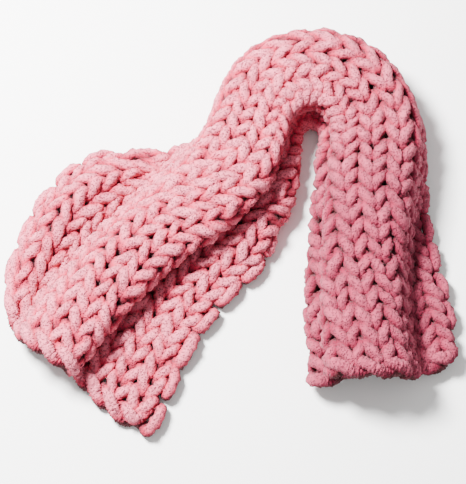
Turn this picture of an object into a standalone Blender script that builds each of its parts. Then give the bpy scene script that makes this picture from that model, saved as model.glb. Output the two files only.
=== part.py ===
"""A chunky knit blanket laid on a floor.

The blanket is one long knitted strip. It lies as a wide flap, is gathered into
a thick bundle, turns back on itself round a bend and runs out in a pleated leg.
Units are metres, +Z is up, and the floor is z = 0.
"""
import math

import bpy
import numpy as np

# The blanket spread out flat. Its width of about 0.7 follows from STATIONS.
FLAT_LENGTH = 1.496
THICKNESS = 0.024         # of the knitted fabric

# How the layers lie on each other
PITCH = 0.0330            # height from one layer's middle to the next layer's
REST = THICKNESS / 2      # height of the middle of a layer that lies on the floor
CROWN = 0.012             # how far the top panel bulges at the most
CROWN_SPACING = 0.34      # length along the blanket from one bulge to the next
FOLD_RADIUS = 0.022       # of a fold that has room for it
OUTER_FLAT = 0.03         # an outer panel narrower than this doesn't reach the floor
CURL_SHARE = 0.4          # how far along the outer panel its curl is highest
INNER_EDGES = (-0.050, -0.010, 0.040, 0.090)    # edge_in less spread
INNER_RAMPS = (0.0, -0.010, 0.040, 0.060)       # how far out it then comes down
STATION_ROUNDING = 0.09   # length along the blanket over which a fold line turns
HEM_BULGES = (0.040, 0.0) # how far the middle of the first and last row stands out
HEM_SWAY = 0.016          # how far an end row also wanders to and fro
HEM_WAVES = (7.1, 8.3)    # radians of that wandering across the first and last row
HEM_PHASES = (0.6, 5.3)   # where it starts, in radians
HEM_REACH = 0.30          # how far in from an end the rows still follow its line

# The bend and the folds at stations along the blanket. along is the distance
# from the flap's end, and heading is in degrees clockwise from +Y. Distances to
# the right of the middle line:
# edge_out  the outer selvage
# valley    foot of the slope between the outer panel and the top panel
# ridge     top of that slope, where the top panel starts
# brow      far side of the top panel, where it turns back under itself
# tuck      where the returning layer turns again and becomes the lower panel
# spread    far side of the lower panel
# edge_in   the inner selvage, which is turned under where it is short of spread
# Heights in layers:
# under     of the lower panel at spread
# lift      of the lower panel at tuck
# lip       of the curl beside the outer selvage
COLUMNS = ("along", "heading", "edge_out", "valley", "ridge", "brow", "tuck",
           "spread", "edge_in", "under", "lift", "lip")
STATIONS = (
    (0.00, 42, -0.100, -0.030, 0.015, 0.115, 0.035, 0.245, 0.310, 0.0, 0.0, 0.6),
    (0.10, 42, -0.160, -0.045, 0.005, 0.108, 0.028, 0.205, 0.280, 0.0, 0.0, 1.1),
    (0.20, 42, -0.192, -0.055, -0.002, 0.102, 0.020, 0.170, 0.245, 0.0, 0.0, 1.5),
    (0.30, 42, -0.192, -0.050, 0.000, 0.115, 0.028, 0.170, 0.240, 0.1, 0.0, 1.4),
    (0.37, 42, -0.155, -0.045, 0.008, 0.138, 0.044, 0.185, 0.250, 0.8, 0.1, 1.0),
    (0.44, 41, -0.070, -0.050, 0.010, 0.150, 0.045, 0.220, 0.235, 1.0, 0.8, 0.1),
    (0.51, 40, -0.022, -0.018, 0.002, 0.150, 0.040, 0.210, 0.145, 1.0, 1.0, 0.0),
    (0.59, 38, -0.045, -0.042, -0.026, 0.120, 0.012, 0.160, 0.050, 1.0, 1.0, 0.0),
    (0.67, 48, -0.083, -0.080, -0.064, 0.085, -0.026, 0.112, -0.010, 1.0, 1.0, 0.0),
    (0.84, 118, -0.110, -0.107, -0.091, 0.065, -0.053, 0.075, -0.050, 1.0, 1.0, 0.0),
    (1.02, 185, -0.100, -0.094, -0.070, 0.085, -0.033, 0.108, -0.015, 1.0, 1.0, 0.0),
    (1.14, 185, -0.112, -0.088, -0.055, 0.085, -0.033, 0.110, 0.000, 1.0, 1.0, 0.1),
    (1.25, 183, -0.135, -0.080, -0.040, 0.088, -0.028, 0.115, 0.030, 1.0, 1.0, 0.3),
    (1.36, 179, -0.158, -0.080, -0.035, 0.092, -0.024, 0.120, 0.065, 1.0, 1.0, 0.6),
    (1.50, 173, -0.180, -0.085, -0.035, 0.095, -0.020, 0.125, 0.100, 1.0, 1.0, 0.6),
)
# Cells on each panel between two corners of a cross-section, from edge_out on
PANEL_CELLS = (2, 3, 6, 3, 5, 4, 7, 4, 7, 4, 5)
WIDE_PANEL = 5            # a panel of this many cells or more has narrow ones at its ends
FIRST_CELL = 0.006        # width of the cell next to a fold there
SECOND_MARK = 2.2         # how far out the second cell ends, in first cells
EDGE_PANELS = 2           # panels beside each selvage that can be nearly closed
MIN_CELL = 0.005          # narrowest cell there
CELLS_ALONG = 44
BEND_SAMPLES = 600        # steps along the middle line
FOLD_POINTS = 9           # on the arc of each fold
SHORT_SIDE = 0.0002       # a corner with a shorter side than this stays as it is
SLIGHT_TURN = 0.01        # radians below which a corner counts as straight
PINK = (0.74, 0.30, 0.33)


def moving_average(values, reach):
    """Mean of the `reach` neighbours on each side, with straight ends."""
    head = 2 * values[0] - values[reach:0:-1]
    tail = 2 * values[-1] - values[-2:-reach - 2:-1]
    padded = np.concatenate([head, values, tail])
    total = np.cumsum(np.concatenate([np.zeros_like(padded[:1]), padded]), axis=0)
    return (total[2 * reach + 1:] - total[:-2 * reach - 1]) / (2 * reach + 1)


def read_stations(along):
    """Each column between the stations: straight lines, then rounded."""
    steps = np.linspace(0.0, FLAT_LENGTH, BEND_SAMPLES)
    reach = int(STATION_ROUNDING / FLAT_LENGTH * BEND_SAMPLES / 2)
    table = np.array(STATIONS)
    values = {"along": along}
    for index, name in enumerate(COLUMNS[1:], start=1):
        line = np.interp(steps, table[:, 0], table[:, index])
        values[name] = np.interp(along, steps, moving_average(line, reach))
    return values


def middle_line(along):
    """Points and headings of the middle line: its heading, summed along it."""
    steps = np.linspace(0.0, FLAT_LENGTH, BEND_SAMPLES)
    heading = np.radians(read_stations(steps)["heading"])
    x = np.cumsum(np.sin(heading)) * steps[1]
    y = np.cumsum(np.cos(heading)) * steps[1]
    return np.interp(along, steps, x), np.interp(along, steps, y), np.interp(along, steps, heading)


def section_corners(fold):
    """Corners of one cross-section, outer selvage first, as (right, up) pairs."""
    outer, valley, ridge = fold["edge_out"], fold["valley"], fold["ridge"]
    brow, tuck, spread = fold["brow"], fold["tuck"], fold["spread"]
    left = REST + fold["lift"] * PITCH
    right = REST + fold["under"] * PITCH
    below_brow = left + (right - left) * (brow - tuck) / (spread - tuck)
    top = left + 2 * PITCH
    slope = (top - REST) / (ridge - outer)
    foot = REST + slope * (valley - outer) * max(1 - (valley - outer) / OUTER_FLAT, 0.0)
    crest = REST + fold["lip"] * PITCH
    crown = CROWN * (1 + math.sin(math.tau * fold["along"] / CROWN_SPACING)) / 2
    ramp = np.interp(fold["edge_in"] - spread, INNER_EDGES, INNER_RAMPS)
    return np.array((
        (outer, REST),
        (outer + (valley - outer) * CURL_SHARE, crest),
        (valley, foot),
        (ridge, top),
        ((ridge + brow) / 2, (top + below_brow) / 2 + PITCH + crown),
        (brow, below_brow + 2 * PITCH),
        (brow, below_brow + PITCH),
        (tuck, left + PITCH),
        (tuck, left),
        (spread, right),
        (spread + ramp, REST),
        (fold["edge_in"], REST),
    ))


def fillet(before, corner, after):
    """Arc that rounds a corner, no longer than half of the sides beside it."""
    back, ahead = before - corner, after - corner
    sides = np.hypot(*back), np.hypot(*ahead)
    if min(sides) < SHORT_SIDE:
        return np.repeat(corner[None], FOLD_POINTS, axis=0)
    back, ahead = back / sides[0], ahead / sides[1]
    turn = math.pi - math.acos(np.clip(back @ ahead, -1.0, 1.0))
    reach = min(FOLD_RADIUS * math.tan(turn / 2), min(sides) / 2)
    share = np.linspace(0.0, 1.0, FOLD_POINTS)[:, None]
    if turn < SLIGHT_TURN:
        return corner + back * reach * (1 - share) + ahead * reach * share
    radius = reach / math.tan(turn / 2)
    middle = corner + (back + ahead) / np.hypot(*(back + ahead)) * radius / math.cos(turn / 2)
    start, end = corner + back * reach - middle, corner + ahead * reach - middle
    weight = np.sin(turn * (1 - share)) * start + np.sin(turn * share) * end
    return middle + weight / math.sin(turn)


def distances(points):
    """Distance run along a curve at each of its points."""
    return np.concatenate([[0.0], np.cumsum(np.hypot(*np.diff(points, axis=0).T))])


def read_curve(points, at):
    """Points of a curve at the given distances along it."""
    run = distances(points)
    return np.stack([np.interp(at, run, points[:, 0]), np.interp(at, run, points[:, 1])], axis=1)


def section(fold):
    """One cross-section with rounded folds, and the distance along it of each fold."""
    corners = section_corners(fold)
    arcs = [fillet(*corners[index:index + 3]) for index in range(len(corners) - 2)]
    curve = np.concatenate([corners[:1], *arcs, corners[-1:]])
    run = distances(curve)
    folds = run[1 + FOLD_POINTS // 2:-1:FOLD_POINTS]
    return curve, np.concatenate([[0.0], folds, run[-1:]])


def spread_folds(folds):
    """Keeps the folds beside the selvages far enough apart for their cells."""
    gaps = MIN_CELL * np.array(PANEL_CELLS)
    folds = folds.copy()
    for index in range(EDGE_PANELS):
        folds[index + 1] = max(folds[index + 1], folds[index] + gaps[index])
        folds[-2 - index] = min(folds[-2 - index], folds[-1 - index] - gaps[-1 - index])
    return folds


def panel_marks(folds):
    """Distances across of the grid lines, which follow the folds and crowd beside them."""
    marks = [0.0]
    for start, end, cells in zip(folds[:-1], folds[1:], PANEL_CELLS):
        if cells < WIDE_PANEL:
            marks.extend(np.linspace(start, end, cells + 1)[1:])
            continue
        first = min(FIRST_CELL, (end - start) / cells)
        second = SECOND_MARK * first
        marks.append(start + first)
        marks.extend(np.linspace(start + second, end - second, cells - 3))
        marks.extend((end - first, end))
    return np.array(marks)


def hem_shift(across, along):
    """How far a point is moved along the blanket, so that the ends aren't straight."""
    first, last = [
        bulge * (1 - (2 * across - 1) ** 4) + HEM_SWAY * np.sin(wave * across + phase)
        for bulge, wave, phase in zip(HEM_BULGES, HEM_WAVES, HEM_PHASES)
    ]
    start = np.clip(1 - along / HEM_REACH, 0.0, 1.0)
    end = np.clip(1 - (FLAT_LENGTH - along) / HEM_REACH, 0.0, 1.0)
    return end * last - start * first


def place(curve, across, along, line):
    """Moves one cross-section to its place on the middle line."""
    x, y, heading = line
    ahead = hem_shift(across, along)
    return np.stack([
        x + math.cos(heading) * curve[:, 0] + math.sin(heading) * ahead,
        y - math.sin(heading) * curve[:, 0] + math.cos(heading) * ahead,
        curve[:, 1],
    ], axis=1)


def fabric_surface():
    """Grid of points in the middle of the fabric, [along, across, xyz]."""
    along = np.linspace(0.0, FLAT_LENGTH, CELLS_ALONG + 1)
    stations = read_stations(along)
    lines = np.stack(middle_line(along), axis=1)
    grid = []
    for index, distance in enumerate(along):
        curve, folds = section({name: column[index] for name, column in stations.items()})
        marks = panel_marks(spread_folds(folds))
        grid.append(place(read_curve(curve, marks), marks / marks[-1], distance, lines[index]))
    return np.array(grid)


def clear_scene():
    """Removes whatever objects the scene starts with."""
    for item in list(bpy.data.objects):
        bpy.data.objects.remove(item, do_unlink=True)


def chenille():
    """Matt pink pile yarn."""
    material = bpy.data.materials.new("pink_chenille")
    material.use_nodes = True
    shader = material.node_tree.nodes["Principled BSDF"]
    shader.inputs["Base Color"].default_value = (*PINK, 1.0)
    shader.inputs["Roughness"].default_value = 0.95
    shader.inputs["Metallic"].default_value = 0.0
    return material


def build_blanket(collection):
    """The lofted fabric surface, thickened equally to both sides."""
    grid = fabric_surface()
    centre = (grid.min(axis=(0, 1)) + grid.max(axis=(0, 1))) / 2
    grid[:, :, :2] -= centre[:2]
    rows, columns = grid.shape[:2]
    index = np.arange(rows * columns).reshape(rows, columns)
    faces = np.stack([index[:-1, :-1], index[:-1, 1:], index[1:, 1:], index[1:, :-1]], axis=-1)
    mesh = bpy.data.meshes.new("knit_blanket")
    mesh.from_pydata(grid.reshape(-1, 3).tolist(), [], faces.reshape(-1, 4)[:, ::-1].tolist())
    mesh.materials.append(chenille())
    mesh.shade_smooth()
    blanket = bpy.data.objects.new("knit_blanket", mesh)
    collection.objects.link(blanket)
    solidify = blanket.modifiers.new("fabric_thickness", "SOLIDIFY")
    solidify.thickness = THICKNESS
    solidify.offset = 0.0
    return blanket


def main():
    clear_scene()
    collection = bpy.data.collections.new("chunky_knit_blanket")
    bpy.context.scene.collection.children.link(collection)
    build_blanket(collection)


main()
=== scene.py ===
"""A chunky chenille throw, knitted stitch by stitch and laid out on a floor.

The middle of the fabric is a surface that follows the CAD model's folds: a
cross-section with rounded folds is carried along a bending middle line. The
yarn is a tube that loops through that surface row by row, as a knitter works
it. Distances are metres, +Z is up, and the floor is z = 0.
"""
import math

import bpy
import numpy as np
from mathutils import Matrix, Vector


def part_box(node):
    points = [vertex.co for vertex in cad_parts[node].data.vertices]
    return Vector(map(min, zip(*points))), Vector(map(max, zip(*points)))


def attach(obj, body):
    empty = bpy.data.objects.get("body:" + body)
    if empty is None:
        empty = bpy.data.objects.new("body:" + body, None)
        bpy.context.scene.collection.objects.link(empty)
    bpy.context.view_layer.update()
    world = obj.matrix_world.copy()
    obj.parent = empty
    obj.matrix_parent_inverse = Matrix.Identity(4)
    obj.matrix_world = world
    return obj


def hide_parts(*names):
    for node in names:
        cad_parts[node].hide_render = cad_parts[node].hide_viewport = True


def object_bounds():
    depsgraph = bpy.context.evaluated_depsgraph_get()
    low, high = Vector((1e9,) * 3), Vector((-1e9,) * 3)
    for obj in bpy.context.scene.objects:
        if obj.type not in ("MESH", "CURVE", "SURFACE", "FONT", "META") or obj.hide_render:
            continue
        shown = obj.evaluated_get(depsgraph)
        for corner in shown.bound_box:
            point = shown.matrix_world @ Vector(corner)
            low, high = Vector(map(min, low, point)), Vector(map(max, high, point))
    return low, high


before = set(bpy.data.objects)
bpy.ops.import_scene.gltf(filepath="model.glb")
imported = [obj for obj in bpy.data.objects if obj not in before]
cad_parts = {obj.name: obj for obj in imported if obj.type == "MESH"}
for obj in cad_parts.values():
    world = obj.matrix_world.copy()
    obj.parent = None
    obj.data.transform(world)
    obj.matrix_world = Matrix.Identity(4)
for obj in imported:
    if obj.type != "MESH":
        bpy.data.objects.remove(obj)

CAD_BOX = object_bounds()
BLANKET = "knit_blanket"

# The knitted fabric
WALES = 12                # columns of stitches across
ROWS = 42                 # rows of stitches along
FLAT_LENGTH = 1.496       # of the whole sheet
ROW_HEIGHT = FLAT_LENGTH / ROWS
EDGE_MARGIN = 0.022       # share of the width that each selvage's turns take up
END_MARGIN = 0.5          # rows' worth of length that each corded end takes up

# Its folds, as in the CAD model
PITCH = 0.0330            # height from one layer's middle to the next layer's
REST = 0.0155             # height of the middle of a layer that lies on the floor
CROWN = 0.012             # how far the top panel bulges at the most
CROWN_SPACING = 0.34      # length along the blanket from one bulge to the next
FOLD_REACH = 0.022        # how far from its corner a fold starts to turn
OUTER_FLAT = 0.03         # an outer panel narrower than this doesn't reach the floor
CURL_SHARE = 0.4          # how far along the outer panel its curl is highest
INNER_EDGES = (-0.050, -0.010, 0.040, 0.090)    # edge_in less spread
INNER_RAMPS = (0.0, -0.010, 0.040, 0.060)       # how far out it then comes down
STATION_ROUNDING = 0.09   # length along the blanket over which a fold line turns
HEM_BULGES = (0.040, 0.0) # how far the middle of the first and last row stands out
HEM_SWAY = 0.016          # how far an end row also wanders to and fro
HEM_WAVES = (7.1, 8.3)    # radians of that wandering across the first and last row
HEM_PHASES = (0.6, 5.3)   # where it starts, in radians
HEM_REACH = 0.30          # how far in from an end the rows still follow its line
BEND_SAMPLES = 600        # steps along the middle line
FOLD_POINTS = 9           # on the curve of each fold
TINY = 1e-9               # keeps a side of no length from being divided by nothing
CELLS_ACROSS = 16 * WALES # of the surface that the yarn follows
CELLS_ALONG = 8 * ROWS

# heading is in degrees clockwise from +Y, and the distances from edge_out to
# edge_in are to the right of the middle line. under, lift and lip are heights
# in layers: of the lower panel at spread, of it at tuck, and of the outer curl.
COLUMNS = ("along", "heading", "edge_out", "valley", "ridge", "brow", "tuck",
           "spread", "edge_in", "under", "lift", "lip")
STATIONS = (
    (0.00, 42, -0.100, -0.030, 0.015, 0.115, 0.035, 0.245, 0.310, 0.0, 0.0, 0.6),
    (0.10, 42, -0.160, -0.045, 0.005, 0.108, 0.028, 0.205, 0.280, 0.0, 0.0, 1.1),
    (0.20, 42, -0.192, -0.055, -0.002, 0.102, 0.020, 0.170, 0.245, 0.0, 0.0, 1.5),
    (0.30, 42, -0.192, -0.050, 0.000, 0.115, 0.028, 0.170, 0.240, 0.1, 0.0, 1.4),
    (0.37, 42, -0.155, -0.045, 0.008, 0.138, 0.044, 0.185, 0.250, 0.8, 0.1, 1.0),
    (0.44, 41, -0.070, -0.050, 0.010, 0.150, 0.045, 0.220, 0.235, 1.0, 0.8, 0.1),
    (0.51, 40, -0.022, -0.018, 0.002, 0.150, 0.040, 0.210, 0.145, 1.0, 1.0, 0.0),
    (0.59, 38, -0.045, -0.042, -0.026, 0.120, 0.012, 0.160, 0.050, 1.0, 1.0, 0.0),
    (0.67, 48, -0.083, -0.080, -0.064, 0.085, -0.026, 0.112, -0.010, 1.0, 1.0, 0.0),
    (0.84, 118, -0.110, -0.107, -0.091, 0.065, -0.053, 0.075, -0.050, 1.0, 1.0, 0.0),
    (1.02, 185, -0.100, -0.094, -0.070, 0.085, -0.033, 0.108, -0.015, 1.0, 1.0, 0.0),
    (1.14, 185, -0.112, -0.088, -0.055, 0.085, -0.033, 0.110, 0.000, 1.0, 1.0, 0.1),
    (1.25, 183, -0.135, -0.080, -0.040, 0.088, -0.028, 0.115, 0.030, 1.0, 1.0, 0.3),
    (1.36, 179, -0.158, -0.080, -0.035, 0.092, -0.024, 0.120, 0.065, 1.0, 1.0, 0.6),
    (1.50, 173, -0.180, -0.085, -0.035, 0.095, -0.020, 0.125, 0.100, 1.0, 1.0, 0.6),
)

# The yarn and its stitches. A wale is the width of a column, and a row the height of one.
YARN = 0.0124             # radius of the yarn where a stitch's leg is plump
YARN_SLIMMING = 0.07      # how much slimmer it is halfway to the back, as a share
LEG_SWING = 0.26          # how far a leg's ends lean to either side of its middle, in wales
LOOP_REACH = 0.78         # height of a loop above the middle of its row, in rows
LOOP_DEPTH = 0.0060       # how far the legs stand in front of the fabric's middle
LEG_DROOP = 0.35          # how much later along a leg it is plumpest, in radians
TURN_REACH = 0.27         # how far a turn swings out past the last wale, in wales
TURN_SPREAD = 0.36        # how far a turn swings back and forth along the selvage, in rows
TURN_PLUMPNESS = 0.15     # how much thicker the yarn is in the middle of a turn
STITCH_SAMPLES = 44       # rings of the tube along one stitch
TURN_SAMPLES = 20         # and along one turn
YARN_SIDES = 14           # points in a ring
ROWS_PER_PIECE = 11       # rows knitted from one length of yarn
CORD_OUTSET = 0.25        # how far an end's cord lies beyond its row, in rows
CORD_RADIUS = 0.0090      # from the middle of an end's cord to the middle of its strands
CORD_YARN = 0.0132        # radius of those strands
CORD_TAPER = 0.3          # how much thinner a strand's tip is, as a share
CORD_TIP = 0.6            # length over which a strand's tip bends in by a row, in wales
TUFT_HEIGHT = 0.0014      # how far the pile's tufts typically stand out or in

# Slight unevenness of hand knitting, drawn from one seeded stream
STREAM = np.random.default_rng(7)
SWAY_ACROSS = 0.06        # wales
SWAY_ALONG = 0.07         # rows
SWAY_RADIUS = 0.08        # share of the yarn's radius

# The pile's colour, pale at its tips, with painted shade in crimson and near black down between the
# stitches.
# Each pair is the colour at the cast-on end and at the bound-off end, whose deeper colour is painted
# shade.
# painted shade: PAINTED_SHADE_FLANKS and PAINTED_SHADE_DEEP darken the yarn down between the stitches
TIPS = ("CE6679", "9C3C52")
PAINTED_SHADE_FLANKS = ("B42644", "821836")
PAINTED_SHADE_DEEP = "40000A"
PITS = "6A2034"
SHEEN = "FBDDE0"
END_SHADE_RANGE = (0.45, 0.80)  # shares of the length between which the painted shade deepens
FLANK_RANGE = (0.1, 0.65) # how far to the front the painted shade's depths turn into flanks
TIPS_RANGE = (0.50, 1.05) # how far to the front the flanks turn into tips
TUFT_SPACING = 0.0050     # drawn coarser than the real 2 mm, so that it shows
TUFT_STRAY = 0.012        # how far tufts stray from an even pattern at the most
STRAY_SIZE = 0.008        # length over which tufts stray together
PIT_RANGE = (0.15, 0.50)  # how far from its middle a pit fades out, in tuft spacings
PIT_STRENGTH = 0.85       # share of the pits' colour in their middles
PATCH_SIZE = 0.030        # of the paler and darker patches that handling leaves
PATCH_RANGE = (0.35, 0.65)    # values of their noise that turn dark into pale
PATCH_TONES = (0.88, 1.06)    # of the dark and of the pale
PILE_GRAIN = 0.0026       # drawn coarser than real fibres, which are under 0.1 mm
PILE_RELIEF = 0.0025      # height of the grain and the pits

# The studio
FLOOR_HALF = 6.0          # half of the floor's side
FLOOR_WHITE = "F4F3F2"
SKY_WHITE = "F6F6F6"
SKY_STRENGTH = 0.9
KEY_PLACE = (-1.15, 0.75, 2.1)
KEY_SIZE = 0.7            # side of the square lamp
KEY_POWER = 520           # watts
LENS = 100                # mm
CAMERA_ELEVATION = 71     # degrees above the floor
CAMERA_DISTANCE = 2.76
CAMERA_AIM = 0.045        # how far in front of the blanket's middle it is aimed


# ------------------------------------------------------------------ the fabric

def moving_average(values, reach):
    """Mean of the `reach` neighbours on each side, with straight ends."""
    head = 2 * values[0] - values[reach:0:-1]
    tail = 2 * values[-1] - values[-2:-reach - 2:-1]
    padded = np.concatenate([head, values, tail])
    total = np.cumsum(np.concatenate([np.zeros_like(padded[:1]), padded]), axis=0)
    return (total[2 * reach + 1:] - total[:-2 * reach - 1]) / (2 * reach + 1)


def read_stations(along):
    """Each column between the stations: straight lines, then rounded."""
    steps = np.linspace(0.0, FLAT_LENGTH, BEND_SAMPLES)
    reach = int(STATION_ROUNDING / FLAT_LENGTH * BEND_SAMPLES / 2)
    table = np.array(STATIONS)
    values = {"along": along}
    for index, name in enumerate(COLUMNS[1:], start=1):
        line = np.interp(steps, table[:, 0], table[:, index])
        values[name] = np.interp(along, steps, moving_average(line, reach))
    return values


def middle_line(along):
    """Points and headings of the middle line: its heading, summed along it."""
    steps = np.linspace(0.0, FLAT_LENGTH, BEND_SAMPLES)
    heading = np.radians(read_stations(steps)["heading"])
    x = np.cumsum(np.sin(heading)) * steps[1]
    y = np.cumsum(np.cos(heading)) * steps[1]
    return [np.interp(along, steps, values) for values in (x, y, heading)]


def section_corners(fold):
    """Corners of every cross-section, [section, corner, (right, up)], outer selvage first."""
    outer, valley, ridge = fold["edge_out"], fold["valley"], fold["ridge"]
    brow, tuck, spread = fold["brow"], fold["tuck"], fold["spread"]
    left = REST + fold["lift"] * PITCH
    right = REST + fold["under"] * PITCH
    below_brow = left + (right - left) * (brow - tuck) / (spread - tuck)
    top = left + 2 * PITCH
    slope = (top - REST) / (ridge - outer)
    foot = REST + slope * (valley - outer) * np.maximum(1 - (valley - outer) / OUTER_FLAT, 0.0)
    crest = REST + fold["lip"] * PITCH
    crown = CROWN * (1 + np.sin(math.tau * fold["along"] / CROWN_SPACING)) / 2
    ramp = np.interp(fold["edge_in"] - spread, INNER_EDGES, INNER_RAMPS)
    floor = np.full_like(outer, REST)
    corners = (
        (outer, floor),
        (outer + (valley - outer) * CURL_SHARE, crest),
        (valley, foot),
        (ridge, top),
        ((ridge + brow) / 2, (top + below_brow) / 2 + PITCH + crown),
        (brow, below_brow + 2 * PITCH),
        (brow, below_brow + PITCH),
        (tuck, left + PITCH),
        (tuck, left),
        (spread, right),
        (spread + ramp, floor),
        (fold["edge_in"], floor),
    )
    return np.array(corners).transpose(2, 0, 1)


def round_corners(corners):
    """Each inner corner becomes a parabola whose ends are FOLD_REACH or half a side away."""
    before, corner, after = corners[:, :-2], corners[:, 1:-1], corners[:, 2:]
    sides = [np.linalg.norm(other - corner, axis=2, keepdims=True) for other in (before, after)]
    reach = np.minimum(FOLD_REACH, np.minimum(*sides) / 2)
    start, end = [(corner + (other - corner) * reach / np.maximum(side, TINY))[:, :, None]
                  for other, side in zip((before, after), sides)]
    share = np.linspace(0.0, 1.0, FOLD_POINTS)[:, None]
    middle = corner[:, :, None]
    curves = (1 - share) ** 2 * start + 2 * share * (1 - share) * middle + share ** 2 * end
    curves = curves.reshape(len(corners), -1, 2)
    return np.concatenate([corners[:, :1], curves, corners[:, -1:]], axis=1)


def even_points(curve, count):
    """`count` points of one curve, equally far apart along it."""
    run = np.concatenate([[0.0], np.cumsum(np.hypot(*np.diff(curve, axis=0).T))])
    at = np.linspace(0.0, run[-1], count)
    return np.stack([np.interp(at, run, curve[:, 0]), np.interp(at, run, curve[:, 1])], axis=1)


def hem_shift(across, along):
    """How far a point is moved along the blanket, so that the ends aren't straight."""
    first, last = [
        bulge * (1 - (2 * across - 1) ** 4) + HEM_SWAY * np.sin(wave * across + phase)
        for bulge, wave, phase in zip(HEM_BULGES, HEM_WAVES, HEM_PHASES)
    ]
    start = np.clip(1 - along / HEM_REACH, 0.0, 1.0)
    end = np.clip(1 - (FLAT_LENGTH - along) / HEM_REACH, 0.0, 1.0)
    return end * last - start * first


def fabric_surface():
    """Middle of the fabric as a grid, [along, across, xyz], with its normals.

    A point is the middle line's, plus right times its distance in the
    cross-section, plus ahead times the hem's shift, plus up times its height.
    """
    along = np.linspace(0.0, FLAT_LENGTH, CELLS_ALONG + 1)[:, None]
    across = np.linspace(0.0, 1.0, CELLS_ACROSS + 1)[None]
    curves = round_corners(section_corners(read_stations(along[:, 0])))
    section = np.array([even_points(curve, CELLS_ACROSS + 1) for curve in curves])
    x, y, heading = [values[:, None] for values in middle_line(along[:, 0])]
    ahead = hem_shift(across, along)
    grid = np.stack([
        x + np.cos(heading) * section[..., 0] + np.sin(heading) * ahead,
        y - np.sin(heading) * section[..., 0] + np.cos(heading) * ahead,
        section[..., 1],
    ], axis=-1)
    low, high = [np.array(corner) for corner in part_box(BLANKET)]
    grid[..., :2] += ((low + high) / 2 - (grid.min(axis=(0, 1)) + grid.max(axis=(0, 1))) / 2)[:2]
    normals = np.cross(np.gradient(grid, axis=1), np.gradient(grid, axis=0))
    return grid, normals / np.linalg.norm(normals, axis=-1, keepdims=True)


def read_grid(grid, across, along):
    """Bilinear reading of a grid at shares across and along, running straight on past its edges."""
    column, row = across * CELLS_ACROSS, along * CELLS_ALONG
    left = np.clip(np.floor(column), 0, CELLS_ACROSS - 1).astype(int)
    low = np.clip(np.floor(row), 0, CELLS_ALONG - 1).astype(int)
    right_share, high_share = (column - left)[:, None], (row - low)[:, None]
    near = grid[low, left] * (1 - right_share) + grid[low, left + 1] * right_share
    far = grid[low + 1, left] * (1 - right_share) + grid[low + 1, left + 1] * right_share
    return near * (1 - high_share) + far * high_share


# -------------------------------------------------------------------- the yarn

def unevenness(rows, size):
    """One random value for each half wale of each row."""
    return size * STREAM.standard_normal((rows, 2 * WALES + 1))


SWAYS = {
    "across": unevenness(ROWS, SWAY_ACROSS),
    "along": unevenness(ROWS, SWAY_ALONG),
    "radius": unevenness(ROWS, SWAY_RADIUS),
}


def row_path(row):
    """One row of loops: (across in wales, along in rows, offset, radius) from left to right.

    With t a full turn for each stitch, across = t plus a sine of twice t that
    makes the legs lean, along = minus a cosine, and offset = minus a cosine of
    twice t, so that the legs lie in front and the loops' heads and feet behind.
    """
    turns = np.linspace(0.0, WALES, WALES * STITCH_SAMPLES + 1)
    t = math.tau * turns
    marks = np.arange(2 * WALES + 1) / 2
    sway = {name: np.interp(turns, marks, values[row]) for name, values in SWAYS.items()}
    front = -np.cos(2 * t - LEG_DROOP * np.sin(t))
    return np.stack([
        turns + LEG_SWING * np.sin(2 * t) + sway["across"],
        row + 0.5 - LOOP_REACH * np.cos(t) + sway["along"],
        LOOP_DEPTH * front,
        YARN * (1 - YARN_SLIMMING + YARN_SLIMMING * front) * (1 + sway["radius"]),
    ], axis=1)


def turn_path(end, start):
    """A turn outside the selvage, from one row's last point to the next one's first.

    It is half an ellipse that also swings back and forth along the selvage.
    """
    share = np.linspace(0.0, 1.0, TURN_SAMPLES + 2)[1:-1, None]
    path = start * (1 - np.cos(math.pi * share)) / 2 + end * (1 + np.cos(math.pi * share)) / 2
    side = 1.0 if end[0] > WALES / 2 else -1.0
    path[:, 0] += side * TURN_REACH * np.sin(math.pi * share[:, 0])
    path[:, 1] -= TURN_SPREAD * np.sin(2 * math.pi * share[:, 0])
    path[:, 2] -= 2 * path[:, 2] * np.sin(math.pi * share[:, 0])
    path[:, 3] *= 1 + TURN_PLUMPNESS * np.sin(math.pi * share[:, 0])
    return path


def yarn_path(first, last):
    """The yarn through rows first to last, worked forwards and back, and up to the next row."""
    numbers = range(first, min(last + 2, ROWS))
    rows = [row_path(number)[::1 if number % 2 == 0 else -1] for number in numbers]
    path = [rows[0]]
    for before, after in zip(rows[:-1], rows[1:]):
        path += [turn_path(before[-1], after[0]), after]
    joined = np.concatenate(path)
    extra = len(rows[-1]) - 1 if last + 1 < ROWS else 0
    return joined[:len(joined) - extra]


def cord_path(along, phase):
    """One strand of the two-strand cord that closes an end: a helix across the blanket.

    Its two tips are thinner and bend into the blanket by one row.
    """
    turns = np.linspace(0.0, WALES, WALES * STITCH_SAMPLES)
    t = math.pi * turns + phase
    tip = np.clip(1 - np.minimum(turns, WALES - turns) / CORD_TIP, 0.0, 1.0) ** 2
    inwards = 1.0 if along < ROWS / 2 else -1.0
    return np.stack([
        turns,
        along + inwards * tip + CORD_RADIUS / ROW_HEIGHT * np.cos(t) * (1 - tip),
        CORD_RADIUS * np.sin(t) * (1 - tip),
        CORD_YARN * (1 - CORD_TAPER * tip),
    ], axis=1)


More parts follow.
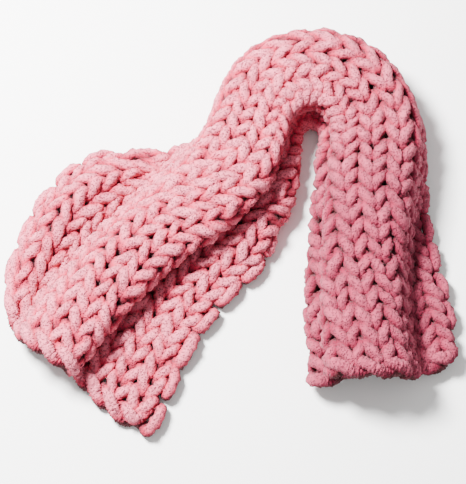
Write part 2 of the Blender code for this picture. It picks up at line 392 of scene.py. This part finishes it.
def tube(path, surface):
    """Rings of YARN_SIDES points round a path through the fabric, flattened on the floor.

    A ring's point is the path's, plus the radius times side times a cosine and
    up times a sine. Also gives how far to the front and along each point is.
    """
    grid, normals = surface
    across = EDGE_MARGIN + (1 - 2 * EDGE_MARGIN) * path[:, 0] / WALES
    along = (path[:, 1] + END_MARGIN) / (ROWS + 2 * END_MARGIN)
    normal = read_grid(normals, np.clip(across, 0, 1), np.clip(along, 0, 1))
    normal /= np.linalg.norm(normal, axis=1, keepdims=True)
    centre = read_grid(grid, across, along) + normal * path[:, 2:3]
    tangent = np.gradient(centre, axis=0)
    side = np.cross(tangent, normal)
    side /= np.linalg.norm(side, axis=1, keepdims=True)
    up = np.cross(side, tangent)
    up /= np.linalg.norm(up, axis=1, keepdims=True)
    angle = np.linspace(0.0, math.tau, YARN_SIDES, endpoint=False)[None, :, None]
    arm = side[:, None] * np.cos(angle) + up[:, None] * np.sin(angle)
    radius = path[:, None, 3:4] + TUFT_HEIGHT * STREAM.standard_normal((len(path), YARN_SIDES, 1))
    points = centre[:, None] + arm * radius
    rise = path[:, None, 2] + (arm * normal[:, None]).sum(axis=2) * path[:, None, 3]
    points[..., 2] = np.maximum(points[..., 2], 0.0)
    return points, rise, along


def tube_mesh(name, points, rise, along):
    """Quads between the rings and a flat face on each end.

    Its attributes say how far to the fabric's front a point is, from -1 to 1,
    and how far along the blanket, from 0 to 1.
    """
    rings, sides = points.shape[:2]
    index = np.arange(rings * sides).reshape(rings, sides)
    following = np.roll(index, -1, axis=1)
    quads = np.stack([index[1:], following[1:], following[:-1], index[:-1]], axis=-1)
    faces = quads.reshape(-1, 4).tolist() + [index[0].tolist(), index[-1, ::-1].tolist()]
    mesh = bpy.data.meshes.new(name)
    mesh.from_pydata(points.reshape(-1, 3).tolist(), [], faces)
    mesh.shade_smooth()
    front = mesh.attributes.new("front", "FLOAT", "POINT")
    front.data.foreach_set("value", (rise.reshape(-1) / (LOOP_DEPTH + YARN)).astype(np.float32))
    length = mesh.attributes.new("along", "FLOAT", "POINT")
    length.data.foreach_set("value", np.repeat(along, sides).astype(np.float32))
    piece = bpy.data.objects.new(name, mesh)
    bpy.context.scene.collection.objects.link(piece)
    return piece


# ------------------------------------------------------------------- materials

def linear(hex_colour):
    """An sRGB hex colour as linear RGBA."""
    parts = [int(hex_colour[i:i + 2], 16) / 255 for i in (0, 2, 4)]
    return (*[p / 12.92 if p <= 0.04045 else ((p + 0.055) / 1.055) ** 2.4 for p in parts], 1.0)


def node(tree, kind, settings=(), **inputs):
    """Adds a node with its settings, and sets or links its inputs by name, or as i0, i1 and on."""
    made = tree.nodes.new(kind)
    for name, value in dict(settings).items():
        setattr(made, name, value)
    for name, value in inputs.items():
        socket = made.inputs[int(name[1:])] if name[1:].isdigit() else made.inputs[name.replace("_", " ")]
        if isinstance(value, bpy.types.NodeSocket):
            tree.links.new(value, socket)
        else:
            socket.default_value = value
    return made


def chenille():
    """Chenille: short polyester pile that stands out all round a twisted core.

    Soft and matt, with a pale sheen where the pile is seen side on, dark pin
    pricks between the tufts, painted shade in deeper pink down between the
    stitches, and painted shade that deepens toward the bound-off end.
    """
    material = bpy.data.materials.new("chenille_pile_yarn")
    material.use_nodes = True
    tree = material.node_tree
    shader = tree.nodes["Principled BSDF"]
    place = node(tree, "ShaderNodeTexCoord").outputs["Object"]
    front = node(tree, "ShaderNodeAttribute", {"attribute_name": "front"}).outputs["Fac"]
    along = node(tree, "ShaderNodeAttribute", {"attribute_name": "along"}).outputs["Fac"]
    smooth = {"interpolation_type": "SMOOTHSTEP"}
    mixed = {"data_type": "RGBA"}
    multiplied = {"data_type": "RGBA", "blend_type": "MULTIPLY"}

    # Painted shade: pale tips on the crowns of the stitches, crimson down between them
    # Painted shade that deepens every colour toward the bound-off end
    end_shade = node(tree, "ShaderNodeMapRange", smooth, i0=along, i1=END_SHADE_RANGE[0], i2=END_SHADE_RANGE[1])
    flank = node(tree, "ShaderNodeMapRange", smooth, i0=front, i1=FLANK_RANGE[0], i2=FLANK_RANGE[1])
    crown = node(tree, "ShaderNodeMapRange", smooth, i0=front, i1=TIPS_RANGE[0], i2=TIPS_RANGE[1])
    tips = node(tree, "ShaderNodeMix", mixed, i0=end_shade.outputs[0], i6=linear(TIPS[0]), i7=linear(TIPS[1]))
    flanks = node(tree, "ShaderNodeMix", mixed,
                  i0=end_shade.outputs[0], i6=linear(PAINTED_SHADE_FLANKS[0]), i7=linear(PAINTED_SHADE_FLANKS[1]))
    sides = node(tree, "ShaderNodeMix", mixed,
                 i0=flank.outputs[0], i6=linear(PAINTED_SHADE_DEEP), i7=flanks.outputs[2])
    body = node(tree, "ShaderNodeMix", mixed,
                i0=crown.outputs[0], i6=sides.outputs[2], i7=tips.outputs[2])

    # Dark pits between the tufts, which stray from even rows
    curl = node(tree, "ShaderNodeTexNoise", Vector=place, Scale=1 / STRAY_SIZE, Detail=1.0)
    strayed = node(tree, "ShaderNodeVectorMath", {"operation": "MULTIPLY_ADD"},
                   i0=curl.outputs["Color"], i1=(TUFT_STRAY,) * 3, i2=place)
    tufts = node(tree, "ShaderNodeTexVoronoi", {"feature": "F1"},
                 Vector=strayed.outputs[0], Scale=1 / TUFT_SPACING)
    pits = node(tree, "ShaderNodeMapRange",
                i0=tufts.outputs["Distance"], i1=PIT_RANGE[0], i2=PIT_RANGE[1], i3=PIT_STRENGTH, i4=0.0)
    pitted = node(tree, "ShaderNodeMix", mixed,
                  i0=pits.outputs[0], i6=body.outputs[2], i7=linear(PITS))

    # Paler and darker patches, where the pile was stroked one way or the other
    patches = node(tree, "ShaderNodeTexNoise", Vector=place, Scale=1 / PATCH_SIZE, Detail=1.0)
    patch = node(tree, "ShaderNodeMapRange", i0=patches.outputs["Fac"],
                 i1=PATCH_RANGE[0], i2=PATCH_RANGE[1], i3=PATCH_TONES[0], i4=PATCH_TONES[1])
    coloured = node(tree, "ShaderNodeMix", multiplied,
                    i0=1.0, i6=pitted.outputs[2], i7=patch.outputs[0])
    tree.links.new(coloured.outputs[2], shader.inputs["Base Color"])

    # Relief of the fibres and of the pits
    pile = node(tree, "ShaderNodeTexNoise", Vector=place, Scale=1 / PILE_GRAIN,
                Detail=2.0, Roughness=0.6)
    height = node(tree, "ShaderNodeMath", {"operation": "SUBTRACT"},
                  i0=pile.outputs["Fac"], i1=pits.outputs[0])
    bump = node(tree, "ShaderNodeBump", Height=height.outputs[0], Distance=PILE_RELIEF, Strength=1.0)
    tree.links.new(bump.outputs[0], shader.inputs["Normal"])
    shader.inputs["Roughness"].default_value = 0.95
    shader.inputs["Specular IOR Level"].default_value = 0.2
    shader.inputs["Sheen Weight"].default_value = 0.1
    shader.inputs["Sheen Roughness"].default_value = 0.5
    shader.inputs["Sheen Tint"].default_value = linear(SHEEN)
    return material


def floor_material():
    """Backdrop paper: uncoated and matt, so it mirrors nothing."""
    material = bpy.data.materials.new("matt_backdrop_paper")
    material.use_nodes = True
    shader = material.node_tree.nodes["Principled BSDF"]
    shader.inputs["Base Color"].default_value = linear(FLOOR_WHITE)
    shader.inputs["Roughness"].default_value = 0.9
    return material


# ------------------------------------------------------------------- the scene

def knit_blanket(yarn):
    """The rows in pieces of one length of yarn each, and the cord along each end."""
    surface = fabric_surface()
    paths = {}
    for part, first in enumerate(range(0, ROWS, ROWS_PER_PIECE), start=1):
        paths[f"knitted_rows_{part}"] = yarn_path(first, first + ROWS_PER_PIECE - 1)
    for end, along in (("cast_on", -CORD_OUTSET), ("bound_off", ROWS + CORD_OUTSET)):
        for strand, phase in (("a", 0.0), ("b", math.pi)):
            paths[f"{end}_strand_{strand}"] = cord_path(along, phase)
    for name, path in paths.items():
        piece = tube_mesh(name, *tube(path, surface))
        piece.data.materials.append(yarn)
        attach(piece, "root")
        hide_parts(BLANKET)


def backdrop():
    """A wide flat floor."""
    mesh = bpy.data.meshes.new("floor")
    signs = ((-1, -1), (1, -1), (1, 1), (-1, 1))
    mesh.from_pydata([(x * FLOOR_HALF, y * FLOOR_HALF, 0) for x, y in signs], [], [(0, 1, 2, 3)])
    mesh.materials.append(floor_material())
    floor = bpy.data.objects.new("floor", mesh)
    bpy.context.scene.collection.objects.link(floor)


def aim(item, place, target):
    """Puts an object at a place, with its -Z axis towards the target."""
    back = Vector(place) - Vector(target)
    item.location = place
    item.rotation_euler = back.to_track_quat("Z", "Y").to_euler()


def key_light():
    """A square soft lamp, high at the back on the left, that looks at the blanket."""
    light = bpy.data.lights.new("key_light", "AREA")
    light.size = KEY_SIZE
    light.energy = KEY_POWER
    item = bpy.data.objects.new("key_light", light)
    aim(item, KEY_PLACE, (0, 0, 0))
    bpy.context.scene.collection.objects.link(item)


def camera():
    """Looks down on the blanket from the side where its two ends lie."""
    low, high = CAD_BOX
    target = (low + high) / 2 - Vector((0.0, CAMERA_AIM, 0.0))
    elevation = math.radians(CAMERA_ELEVATION)
    back = Vector((0.0, -math.cos(elevation), math.sin(elevation)))
    data = bpy.data.cameras.new("camera")
    data.lens = LENS
    item = bpy.data.objects.new("camera", data)
    aim(item, target + CAMERA_DISTANCE * back, target)
    bpy.context.scene.collection.objects.link(item)
    bpy.context.scene.camera = item


def studio():
    """Soft white light from all round, one stronger lamp, the floor and the camera."""
    world = bpy.data.worlds.new("studio")
    world.use_nodes = True
    sky = world.node_tree.nodes["Background"]
    sky.inputs["Color"].default_value = linear(SKY_WHITE)
    sky.inputs["Strength"].default_value = SKY_STRENGTH
    bpy.context.scene.world = world
    key_light()
    backdrop()
    camera()


knit_blanket(chenille())
studio()
